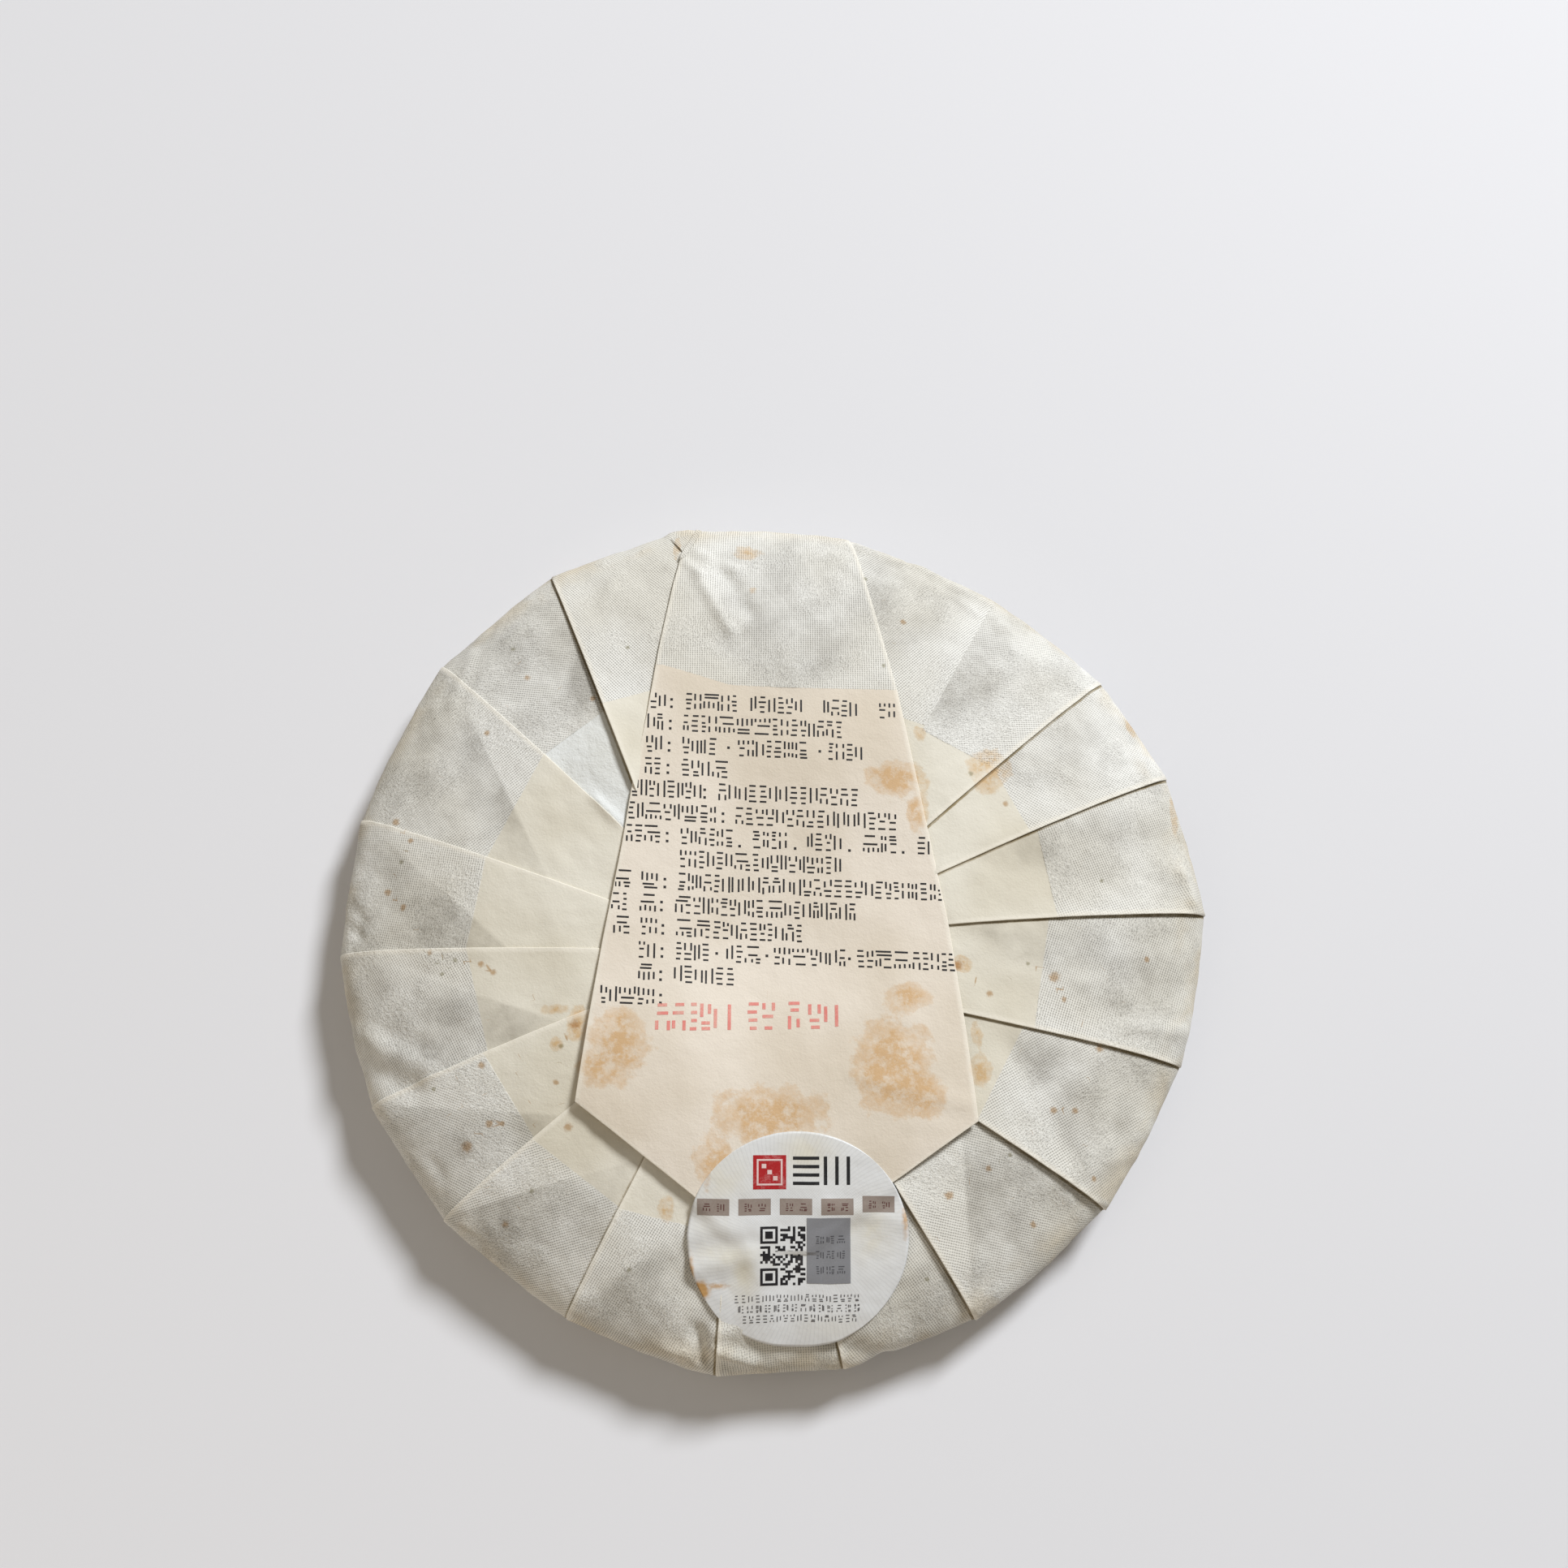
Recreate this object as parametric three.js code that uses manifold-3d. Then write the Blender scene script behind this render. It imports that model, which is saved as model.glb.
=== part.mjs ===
// A round cake of pressed tea in its paper wrapper. It lies on its smooth front with the
// pleated back up. Millimetres, +Z up. The origin is the middle of the flat spot on which
// the cake rests, and +Y points to the rim where the closing flap comes over.

import * as THREE from 'three';
import { mergeVertices } from 'three/addons/utils/BufferGeometryUtils.js';
import Module from 'manifold-3d';

const wasm = await Module();
wasm.setup();

const { clamp, degToRad, lerp, smoothstep } = THREE.MathUtils;

// The cake's section
const cakeRadius = 100;
const restRadius = 58; // the flat spot of the smooth front
const rimHeight = 9.7; // where the cake is widest
const crestRadius = 42; // the top of the pressed ring round the dimple
const crestHeight = 23.5;
const dimpleHeight = 22;

// The wrapper's pleats
const pleatStep = 0.9; // how far the upper pleat stands over the lower one at its fold
const foldWidth = 0.15; // degrees taken by the step itself
const innerEnd = 36; // folds run straight down to this radius and are tucked in there
const panelSag = 0.8; // the rim is a little flatter between two folds
const panelColumns = 4;

// Each fold, counter-clockwise: the angle and the radius of its corner on the rim, how far
// its line passes beside the middle, and which side is on top: 1 the counter-clockwise
// side, -1 the clockwise side, 0 neither.
const folds = [
  { angle: 0.9, radius: 103.4, miss: -6.5, over: 1 },
  { angle: 20, radius: 102.2, miss: -8.7, over: 1 },
  { angle: 36, radius: 100.8, miss: -9.8, over: 1 },
  { angle: 55, radius: 98.3, miss: -12, over: 0 },
  { angle: 77, radius: 98.8, miss: 0, over: 0 },
  { angle: 103, radius: 101.3, miss: 0, over: 0 },
  { angle: 121.4, radius: 101.8, miss: 17.8, over: -1 },
  { angle: 141, radius: 101.3, miss: 8.5, over: 1 },
  { angle: 165.4, radius: 99.4, miss: 9.8, over: 1 },
  { angle: 184.4, radius: 99.7, miss: 9, over: 1 },
  { angle: 205.4, radius: 99.9, miss: 5.9, over: 1 },
  { angle: 223.2, radius: 99.8, miss: 6.7, over: 1 },
  { angle: 243.7, radius: 100.6, miss: 1.9, over: 1 },
  { angle: 263.9, radius: 102.3, miss: -4, over: 1 },
  { angle: 279.8, radius: 102.3, miss: -8, over: 1 },
  { angle: 297.4, radius: 101.8, miss: -8.8, over: 1 },
  { angle: 319.2, radius: 101.2, miss: -14.8, over: 1 },
  { angle: 340.4, radius: 101.8, miss: -14.1, over: 1 },
];

// The closing flap, a long kite that comes over the rim at +Y
const flap = {
  topLeft: new THREE.Vector2(-18.6, 96.5),
  topRight: new THREE.Vector2(21.6, 94.5),
  lowLeft: new THREE.Vector2(-42.3, -43.5),
  lowRight: new THREE.Vector2(47.6, -47.7),
  tip: new THREE.Vector2(3.4, -76),
  tipWidth: 7,
  bow: 4, // how far the control point of each long side stands out
  riseAtRim: 0.3,
  riseAtTip: 2.3,
  rootDepth: 1.2, // how deep its underside lies in the cake
  kneeShare: 0.78, // the share of its rows above the two low corners
  columns: 10,
  rows: 20,
};

// The round paper label over the flap's tip
const label = {
  x: 7.4,
  y: -73.5,
  width: 49.4,
  length: 45.8, // seen from above, as it lies on the slope
  thickness: 0.4,
  gap: 0.3,
  drop: 8, // the width over which it comes down from the flap's edges
  rings: 4,
  sides: 40,
};

const paper = new THREE.MeshStandardMaterial({ color: 0xd8d1c0, roughness: 0.85, metalness: 0 });
const labelPaper = new THREE.MeshStandardMaterial({ color: 0xdcdad4, roughness: 0.45, metalness: 0 });

// The half section, from the middle of the front round the rim to the middle of the back
const underEdge = new THREE.CubicBezierCurve(
  new THREE.Vector2(restRadius, 0),
  new THREE.Vector2(78, 0),
  new THREE.Vector2(cakeRadius, 3.5),
  new THREE.Vector2(cakeRadius, rimHeight),
).getPoints(6);
const shoulder = new THREE.CubicBezierCurve(
  new THREE.Vector2(cakeRadius, rimHeight),
  new THREE.Vector2(cakeRadius, 16.5),
  new THREE.Vector2(74, crestHeight),
  new THREE.Vector2(crestRadius, crestHeight),
).getPoints(9);
const crown = new THREE.CubicBezierCurve(
  new THREE.Vector2(crestRadius, crestHeight),
  new THREE.Vector2(26, crestHeight),
  new THREE.Vector2(18, dimpleHeight),
  new THREE.Vector2(0, dimpleHeight),
).getPoints(3);
const section = [new THREE.Vector2(0, 0), ...underEdge, ...shoulder.slice(1), ...crown.slice(1)];
const back = [...shoulder, ...crown.slice(1)];

// A closed geometry as a solid: shared corners merged, slivers at the axis dropped
function solidOf(geometry) {
  const bare = geometry.clone();
  bare.deleteAttribute('normal');
  bare.deleteAttribute('uv');
  const merged = mergeVertices(bare, 1e-4);
  const corners = merged.index.array;
  const kept = [];
  for (let i = 0; i < corners.length; i += 3) {
    const [a, b, c] = corners.slice(i, i + 3);
    if (a !== b && b !== c && c !== a) kept.push(a, b, c);
  }
  return new wasm.Manifold(new wasm.Mesh({
    numProp: 3,
    vertProperties: new Float32Array(merged.attributes.position.array),
    triVerts: new Uint32Array(kept),
  }));
}

function geometryOf(solid) {
  const mesh = solid.getMesh();
  const geometry = new THREE.BufferGeometry();
  geometry.setAttribute('position', new THREE.BufferAttribute(mesh.vertProperties, 3));
  geometry.setIndex(new THREE.BufferAttribute(mesh.triVerts, 1));
  geometry.computeVertexNormals();
  return geometry;
}

const nextFold = (panel) => folds[(panel + 1) % folds.length];

// The angle of a fold's line at a radius
function foldAngle(fold, radius) {
  const straight = Math.max(radius, innerEnd);
  const lean = Math.asin(fold.miss / straight) - Math.asin(fold.miss / cakeRadius);
  return degToRad(fold.angle) + lean;
}

// A place across a panel, 0 at its own fold and 1 at the next one
function panelAngle(panel, across, radius) {
  const from = foldAngle(folds[panel], radius);
  let to = foldAngle(nextFold(panel), radius);
  if (to < from) to += 2 * Math.PI;
  return lerp(from + degToRad(foldWidth), to, across);
}

const rimRadius = (panel, across) =>
  lerp(folds[panel].radius, nextFold(panel).radius, across) - panelSag * Math.sin(Math.PI * across);

// How far the paper stands off the cake: most at a fold that it covers
function pleatRise(panel, across) {
  const own = folds[panel].over === 1 ? (1 - across) ** 2 : 0;
  const next = nextFold(panel).over === -1 ? across ** 2 : 0;
  return pleatStep * Math.max(own, next);
}

// The rim's radius in any direction, for what lies on the cake
function rimRadiusAt(angle) {
  const turn = 2 * Math.PI;
  const panel = folds.findIndex((fold, k) => {
    const from = foldAngle(fold, cakeRadius);
    const span = (foldAngle(nextFold(k), cakeRadius) - from + turn) % turn;
    return (angle - from + 2 * turn) % turn < span;
  });
  const from = foldAngle(folds[panel], cakeRadius);
  const span = (foldAngle(nextFold(panel), cakeRadius) - from + turn) % turn;
  return rimRadius(panel, ((angle - from + 2 * turn) % turn) / span);
}

// The rim's corners fade out towards the middle
const stretch = (radius, rim) => 1 + (rim / cakeRadius - 1) * (radius / cakeRadius) ** 4;

// The height of the bare back under a point
function backHeight(x, y) {
  const radius = Math.hypot(x, y);
  const plain = radius / stretch(radius, rimRadiusAt(Math.atan2(y, x)));
  const inner = back.findIndex((point) => point.x <= plain);
  if (inner <= 0) return inner === 0 ? rimHeight : dimpleHeight;
  const [a, b] = [back[inner - 1], back[inner]];
  return lerp(a.y, b.y, (plain - a.x) / (b.x - a.x));
}

// The pressed cake with its pleated wrapper: a lathe whose columns follow the folds
function wrappedBody() {
  const columns = folds.length * (panelColumns + 1);
  const geometry = new THREE.LatheGeometry(section, columns);
  const position = geometry.attributes.position;
  for (let column = 0; column <= columns; column += 1) {
    const panel = Math.floor(column / (panelColumns + 1)) % folds.length;
    const across = (column % (panelColumns + 1)) / panelColumns;
    section.forEach((point, row) => {
      const before = section[Math.max(row - 1, 0)];
      const after = section[Math.min(row + 1, section.length - 1)];
      const outward = new THREE.Vector2(after.y - before.y, before.x - after.x).normalize();
      const onBack = smoothstep(point.y, 0.4 * rimHeight, rimHeight) * smoothstep(point.x, 0, innerEnd);
      const rise = pleatRise(panel, across) * onBack;
      const angle = panelAngle(panel, across, point.x);
      const radius = point.x * stretch(point.x, rimRadius(panel, across)) + outward.x * rise;
      position.setXYZ(
        column * section.length + row,
        radius * Math.cos(angle),
        radius * Math.sin(angle),
        point.y + outward.y * rise,
      );
    });
  }
  return solidOf(geometry);
}

// The flap's two edges: a bowed long side down to the low corner, then straight to the tip
function flapEdges() {
  const side = (top, low, sign) => {
    const bowed = top.clone().add(low).multiplyScalar(0.5);
    bowed.x += sign * flap.bow;
    const tip = flap.tip.clone();
    tip.x += (sign * flap.tipWidth) / 2;
    const long = new THREE.QuadraticBezierCurve(top, bowed, low);
    const short = new THREE.LineCurve(low, tip);
    return (down) => (down < flap.kneeShare
      ? long.getPoint(down / flap.kneeShare)
      : short.getPoint((down - flap.kneeShare) / (1 - flap.kneeShare)));
  };
  return [side(flap.topLeft, flap.lowLeft, -1), side(flap.topRight, flap.lowRight, 1)];
}

const flapRise = (down) => lerp(flap.riseAtRim, flap.riseAtTip, smoothstep(down, 0, 0.85));

function flapSheet() {
  const geometry = new THREE.BoxGeometry(1, 1, 1, flap.columns, flap.rows, 1);
  const [left, right] = flapEdges();
  const position = geometry.attributes.position;
  for (let i = 0; i < position.count; i += 1) {
    const down = clamp(0.5 - position.getY(i), 0, 1);
    const across = position.getX(i) + 0.5;
    const place = left(down).lerp(right(down), across);
    const lift = position.getZ(i) > 0 ? flapRise(down) : -flap.rootDepth;
    position.setXYZ(i, place.x, place.y, backHeight(place.x, place.y) + lift);
  }
  return solidOf(geometry);
}

// How far a point lies inside the flap's two low edges; negative outside
function insideFlap(x, y) {
  const edge = (corner, sign) => {
    const along = flap.tip.clone().sub(corner).normalize();
    return sign * (along.x * (y - corner.y) - along.y * (x - corner.x));
  };
  return Math.min(edge(flap.lowLeft, 1), edge(flap.lowRight, -1));
}

// The label is a thin disc that lies on the flap's tip and comes down to the pleats beside it
function roundLabel() {
  const edge = Array.from({ length: label.rings + 1 }, (_, k) => k / label.rings);
  const under = edge.map((share) => new THREE.Vector2(share, 0));
  const upper = edge.map((share) => new THREE.Vector2(share, 1)).reverse();
  const geometry = new THREE.LatheGeometry([...under, ...upper], label.sides);
  geometry.rotateX(Math.PI / 2);
  const position = geometry.attributes.position;
  for (let i = 0; i < position.count; i += 1) {
    const x = label.x + (position.getX(i) * label.width) / 2;
    const y = label.y + (position.getY(i) * label.length) / 2;
    const onFlap = smoothstep(insideFlap(x, y), -label.drop, -0.5);
    const lift = lerp(pleatStep, flap.riseAtTip, onFlap) + label.gap;
    const layer = position.getZ(i) > 0.5 ? label.thickness : 0;
    position.setXYZ(i, x, y, backHeight(x, y) + lift + layer);
  }
  return solidOf(geometry);
}

function piece(name, solid, material) {
  const mesh = new THREE.Mesh(geometryOf(solid), material);
  mesh.name = name;
  return mesh;
}

const group = new THREE.Group();
group.add(piece('paper_wrapped_cake', wrappedBody().add(flapSheet()), paper));
group.add(piece('round_label', roundLabel(), labelPaper));

export default group;
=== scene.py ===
import math
import random

import bmesh
import bpy
import numpy as np
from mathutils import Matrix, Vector, noise
from mathutils.geometry import interpolate_bezier


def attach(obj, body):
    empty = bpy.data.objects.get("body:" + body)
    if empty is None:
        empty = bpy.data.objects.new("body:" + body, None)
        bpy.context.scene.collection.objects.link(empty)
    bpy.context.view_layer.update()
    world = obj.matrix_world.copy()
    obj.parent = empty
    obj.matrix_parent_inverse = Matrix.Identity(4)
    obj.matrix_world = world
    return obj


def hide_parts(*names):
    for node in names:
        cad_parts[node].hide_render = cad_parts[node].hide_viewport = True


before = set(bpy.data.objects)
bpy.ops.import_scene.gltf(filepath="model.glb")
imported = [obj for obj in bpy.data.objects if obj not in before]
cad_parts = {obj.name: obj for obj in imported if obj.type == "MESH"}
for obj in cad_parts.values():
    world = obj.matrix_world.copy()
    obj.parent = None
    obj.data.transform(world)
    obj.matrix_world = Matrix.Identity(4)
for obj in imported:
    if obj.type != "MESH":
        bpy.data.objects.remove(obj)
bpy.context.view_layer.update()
mm = 0.001

# Sizes are in millimetres. The cake lies with its pleated back up, and its axis is the
# frame's Z axis. +Y points to the rim where the closing flap comes over.

cake = {
    "radius": 100.0,
    "restRadius": 58.0,
    "rimHeight": 9.7,
    "crestRadius": 42.0,
    "crestHeight": 23.5,
    "dimpleHeight": 22.0,
    "frontRows": 24,
    "edgeRows": 24,
    "shoulderRows": 62,
    "crownRows": 24,
}

pleats = {
    "innerEnd": 36.0,       # folds run straight down to this radius
    "panelSag": 0.8,        # the rim is a little flatter between two folds
    "topColumns": 28,
    "foldColumns": 11,      # the paper that runs under a fold, comes back and turns over
    "underColumns": 3,
    "backColumns": 3,
    "tuckWidth": 4.0,       # how far it runs under
    "creaseHalf": 0.3,
    "foldRadius": 0.17,
    "liftReach": 12.0,      # a lifted edge comes down over about this width
    "foldStart": -4.0,      # along the section from the rim, where a fold begins and is full
    "foldFull": 6.0,
    "litFrom": 80.0,        # the painted shadow along a fold fades where its edge faces the light
}

# Each fold, counter-clockwise: angle and radius of its corner on the rim, how far its line
# misses the middle, which side is on top (1 the counter-clockwise one), the lift of its edge
# at the rim and inside, the radii where the woven print of the panel after it ends (on this
# fold and on the next), and where one layer of paper begins: the radius on the next fold
# and how soft that edge looks. With 0 the whole panel is one layer, with None it is more.
foldParts = ("angle", "rim", "miss", "over", "lift", "print", "single")
foldRows = [
    (0.9, 103.4, -6.5, 1, (1.1, 0.6), (67.1, 66.2), (50, 6)),
    (20.0, 102.2, -8.7, 1, (0.7, 0.5), (64.4, 63.7), (55, 8)),
    (36.0, 100.8, -9.8, 1, (0.5, 0.5), (63.7, 57.2), (58, 12)),
    (55.0, 98.3, -12.0, 0, (0, 0), (58.6, 55.4), (50, 6)),
    (77.0, 98.8, 0.0, 0, (0, 0), (55.0, 59.0), None),
    (103.0, 101.3, 0.0, 0, (0, 0), (59.5, 63.3), None),
    (121.4, 101.8, 17.8, -1, (0.7, 2.0), (61.9, 64.3), 0),
    (141.0, 101.3, 8.5, 1, (0.5, 0.4), (64.5, 65.9), (50.8, 1.2)),
    (165.4, 99.4, 9.8, 1, (0.5, 0.4), (66.1, 69.0), (59.8, 1.2)),
    (184.4, 99.7, 9.0, 1, (0.5, 0.35), (69.0, 70.3), (53.2, 1.0)),
    (205.4, 99.9, 5.9, 1, (0.5, 0.35), (71.4, 72.7), (65.4, 1.2)),
    (223.2, 99.8, 6.7, 1, (0.6, 0.4), (73.2, 73.9), (62, 1.2)),
    (243.7, 100.6, 1.9, 1, (0.5, 0.5), (74.3, 73.0), (66, 3)),
    (263.9, 103.2, -4.0, 1, (0.6, 0.5), (30, 30), (60, 4)),
    (279.8, 102.3, -8.0, 1, (0.6, 0.5), (30, 30), (60, 4)),
    (297.4, 101.8, -8.8, 1, (1.2, 0.6), (30, 30), (63, 1.5)),
    (319.2, 101.2, -14.8, 1, (1.4, 0.6), (67.2, 64.2), (58, 5)),
    (340.4, 101.8, -14.1, 1, (0.9, 0.6), (66.6, 65.2), (45, 5)),
]
folds = [dict(zip(foldParts, row)) for row in foldRows]
tissuePanel = 6             # the lowest panel, with thin white tissue inside
outOfReach = 30.0           # so far from a fold that neither its painted highlight nor its painted shadow shows


def lerp(a, b, share):
    return a + (b - a) * share


def smooth(value, low, high):
    share = min(1.0, max(0.0, (value - low) / (high - low)))
    return share * share * (3 - 2 * share)


def polar(radius, angle):
    return Vector((radius * math.cos(angle), radius * math.sin(angle)))


# The cake's half section, from the middle of the front round the rim to the dimple
def sectionCurve(start, pull, push, end, rows):
    handles = [Vector((*point, 0)) for point in (start, pull, push, end)]
    return [(point.x, point.y) for point in interpolate_bezier(*handles, rows + 1)]


def cakeSection():
    radius, rest, rim = cake["radius"], cake["restRadius"], cake["rimHeight"]
    crest, top, dimple = cake["crestRadius"], cake["crestHeight"], cake["dimpleHeight"]
    front = [(rest * k / cake["frontRows"], 0.0) for k in range(cake["frontRows"])]
    edge = sectionCurve((rest, 0), (78, 0), (radius, 3.5), (radius, rim), cake["edgeRows"])
    shoulder = sectionCurve((radius, rim), (radius, 16.5), (74, top), (crest, top), cake["shoulderRows"])
    crown = sectionCurve((crest, top), (26, top), (18, dimple), (0, dimple), cake["crownRows"])
    return np.array(front + edge + shoulder[1:] + crown[1:])


section = cakeSection()
sectionArc = np.concatenate([[0.0], np.cumsum(np.hypot(*np.diff(section, axis=0).T))])
sectionTurn = np.gradient(section, sectionArc, axis=0)
sectionNormal = np.column_stack([sectionTurn[:, 1], -sectionTurn[:, 0]])
sectionNormal[0], sectionNormal[-1] = (0, -1), (0, 1)
fullArc = sectionArc[-1]
rimRow = cake["frontRows"] + cake["edgeRows"]
rimArc = sectionArc[rimRow]


def onSection(arc):
    return [float(np.interp(arc, sectionArc, column)) for column in (*section.T, *sectionNormal.T)]


# A point seen from above, with its distance from the axis run out along the curved back
def unrolled(x, y):
    far, angle = math.hypot(x, y), math.atan2(y, x)
    back = section[rimRow:][::-1]
    arc = (fullArc - sectionArc[rimRow:])[::-1]
    along = float(np.interp(far / stretch(far, rimRadiusAt(angle)), back[:, 0], arc))
    return along * math.cos(angle), along * math.sin(angle)


def foldAngle(fold, radius):
    straight = max(radius, pleats["innerEnd"])
    lean = math.asin(fold["miss"] / straight) - math.asin(fold["miss"] / cake["radius"])
    return math.radians(fold["angle"]) + lean


def nextFold(panel):
    return folds[(panel + 1) % len(folds)]


def panelEnds(panel, radius):
    first, last = foldAngle(folds[panel], radius), foldAngle(nextFold(panel), radius)
    return first, last + (2 * math.pi if last < first else 0)


def rimRadius(panel, share):
    flat = lerp(folds[panel]["rim"], nextFold(panel)["rim"], share)
    return flat - pleats["panelSag"] * math.sin(math.pi * share)


def rimRadiusAt(angle):
    for panel in range(len(folds)):
        first, last = panelEnds(panel, cake["radius"])
        share = ((angle - first) % (2 * math.pi)) / (last - first)
        if share < 1:
            return rimRadius(panel, share)


def stretch(radius, rim):
    return 1 + (rim / cake["radius"] - 1) * (radius / cake["radius"]) ** 4


# Small ridges and dents of the paper: ends as seen from above, height and half width
creases = [
    ((-91.1, -27.5), (-76.5, -35.3), 0.9, 2.6),
    ((-93.0, -33.0), (-80.0, -40.0), -0.8, 3.0),
    ((-14.6, -93.0), (-13.6, -99.5), -1.5, 1.4),
    ((-11.0, -97.0), (-3.0, -99.8), 1.0, 1.4),
    ((-22.0, -97.0), (-17.0, -98.5), 0.7, 1.6),
    ((14.0, -94.8), (26.7, -99.0), -0.9, 2.4),
    ((98.0, 11.0), (100.0, 3.6), 0.9, 1.4),
    ((83.0, -25.7), (96.4, -26.3), 0.6, 1.5),
    ((67.1, -61.3), (86.7, -48.0), 0.6, 3.0),
    ((23.1, 93.8), (38.0, 88.0), 0.6, 1.8),
    ((34.0, 91.0), (54.6, 78.7), 0.5, 1.6),
    ((-39.4, 26.8), (-34.6, 21.8), 0.8, 1.3),
    ((-23.5, 98.0), (-18.5, 98.8), 0.8, 1.4),
    ((60.0, 20.0), (74.0, 12.0), 0.3, 4.0),
    ((-86.0, -28.0), (-80.0, -30.0), -0.7, 3.0),
]


# Short crumples all round the rim, placed by chance between these bounds
crumples = {
    "count": 46,
    "seed": 8,
    "radius": (89, 98.5),
    "lean": (-0.9, 0.9),
    "half": (1.5, 4.5),
    "height": (-0.5, 0.55),
    "width": (1.1, 1.9),
}


def rimCreases():
    chance = random.Random(crumples["seed"])
    for _ in range(crumples["count"]):
        angle, far = chance.uniform(0, 2 * math.pi), chance.uniform(*crumples["radius"])
        middle = polar(far, angle)
        way = angle + math.pi / 2 + chance.uniform(*crumples["lean"])
        half = polar(1, way) * chance.uniform(*crumples["half"])
        height, width = chance.uniform(*crumples["height"]), chance.uniform(*crumples["width"])
        yield middle - half, middle + half, height, width


def flatCreases(rows):
    return [(Vector(unrolled(*start)), Vector(unrolled(*end)), *size) for start, end, *size in rows]


paperCreases = flatCreases([*creases, *rimCreases()])


def ridges(point, lines):
    total = 0.0
    for start, end, height, width in lines:
        run = end - start
        share = min(1.0, max(0.0, (point - start).dot(run) / run.length_squared))
        away = (point - start - run * share).length / width
        if away < 3:
            total += height * math.exp(-away * away)
    return total


# Tea leaves press through the wrapper
def leafBumps(x, y, z):
    point = Vector((x, y, z))
    broad = noise.noise(point / 23.0 + Vector((3.1, 0, 0)))
    leaves = noise.noise(point / 8.5)
    stalks = abs(noise.noise(point / 5.0 + Vector((0, 7.7, 0))))
    return 0.38 * broad + 0.26 * leaves + 0.30 * (stalks - 0.2)


def fromSection(radius, height, outward, up, angle, rim, lift, bumps):
    x, y = math.cos(angle), math.sin(angle)
    wide = radius * stretch(radius, rim)
    off = lift + bumps * leafBumps(wide * x, wide * y, height)
    return Vector(((wide + outward * off) * x, (wide + outward * off) * y, max(0.02, height + up * off)))


# A point of the unrolled back, brought back onto the cake
def onBack(x, y, lift, bumps=1.0):
    angle = math.atan2(y, x)
    radius, height, outward, up = onSection(fullArc - math.hypot(x, y))
    return fromSection(radius, height, outward, up, angle, rimRadiusAt(angle), lift, bumps)


# Marks on the paper, as seen from above: middle, half sizes and strength
stains = [
    (28.5, -36, 8, 10, 1.1), (35, -42.5, 5, 5, 1.1), (31.5, -20.3, 6.5, 4.2, 0.8),
    (30.5, 31.5, 7, 5, 0.95), (35.5, 24, 3, 6, 0.8), (52, 34.2, 5.5, 6, 0.85),
    (1.5, -47, 14.5, 8, 0.85), (-11.2, -56.6, 6, 7.5, 0.75), (-33, -31, 8, 10, 0.85),
    (-38, -36, 4.5, 6, 0.8), (-42.5, -26, 3, 4.5, 0.8), (-4.8, 91.2, 8, 4.5, 0.3),
    (48.6, -36, 2.8, 4.5, 0.85), (44.9, -12.2, 1.8, 1.6, 1.2), (47.6, -28, 2.5, 5, 0.55),
    (-3, 80, 4, 3, 0.2), (36.5, 43, 3, 4.5, 0.45), (-47.5, -22.5, 5, 2, 0.65),
    (-47, -30.5, 1.8, 2.2, 0.8), (-22, -66.5, 3, 5, 0.6), (88, 48, 2.5, 6, 0.45),
    (97, 26, 2, 10, 0.5), (32, 93.5, 8, 2, 0.45), (-22, 93, 2, 8, 0.3),
]

# Where the tea shows grey through a single layer
teaShows = [
    (-71.6, -2.6, 9, 8, 0.9), (-62, -9, 8, 6, 0.75), (-84, 4, 8, 10, 0.3), (-59.5, 28.2, 6, 9, 0.9),
    (-68, 40, 6, 12, 0.55), (-80, 30, 9, 12, 0.3), (-70.8, -23.3, 8, 5, 0.7),
    (-61, -24.5, 8, 4, 0.8), (-56, -28, 8, 6, 0.7), (-76.2, -31, 6, 4, 1), (-90, -22, 6, 8, 0.3),
    (-53.3, -48.2, 9, 6, 0.6), (-72, -52, 12, 9, 0.5), (-50, 64, 6, 11, 0.6),
    # The strong spot at (-43.5, 58) is tea showing through and also painted shade beside fold A.
    (-43.5, 58, 4.5, 11, 1.1), (-62, 66, 10, 10, 0.35), (28.6, 80, 5, 9, 0.6),
    (31, 66.9, 4, 10, 0.45), (33.4, 56.2, 3, 4, 0.6), (43.5, 49, 5, 7, 0.65),
    (50.6, 56.7, 5, 10, 0.6), (57, 70, 6, 8, 0.2), (75, 45, 7, 7, 0.3), (67.3, 16, 8, 6, 0.5),
    (83, 19.3, 8, 6, 0.35), (48, -5.1, 12, 5, 0.45), (70, -8, 14, 6, 0.5), (58, -34, 9, 6, 0.8),
    (72, -40, 10, 7, 0.2), (84, -14, 9, 9, 0.5), (50, -62, 8, 14, 0.75), (64, -56, 12, 10, 0.6),
    (-56, -68, 10, 8, 0.9), (-30, -82, 7, 9, 0.8), (-40, -70, 10, 10, 0.45), (20, -92, 14, 5, 0.5),
    (38, -86, 8, 8, 0.5), (13.5, 62, 9, 8, 0.45), (-2, 72, 10, 8, 0.35), (8, 84, 8, 10, 0.25),
    (-9, 66, 4, 5, 0.4),
]

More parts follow.
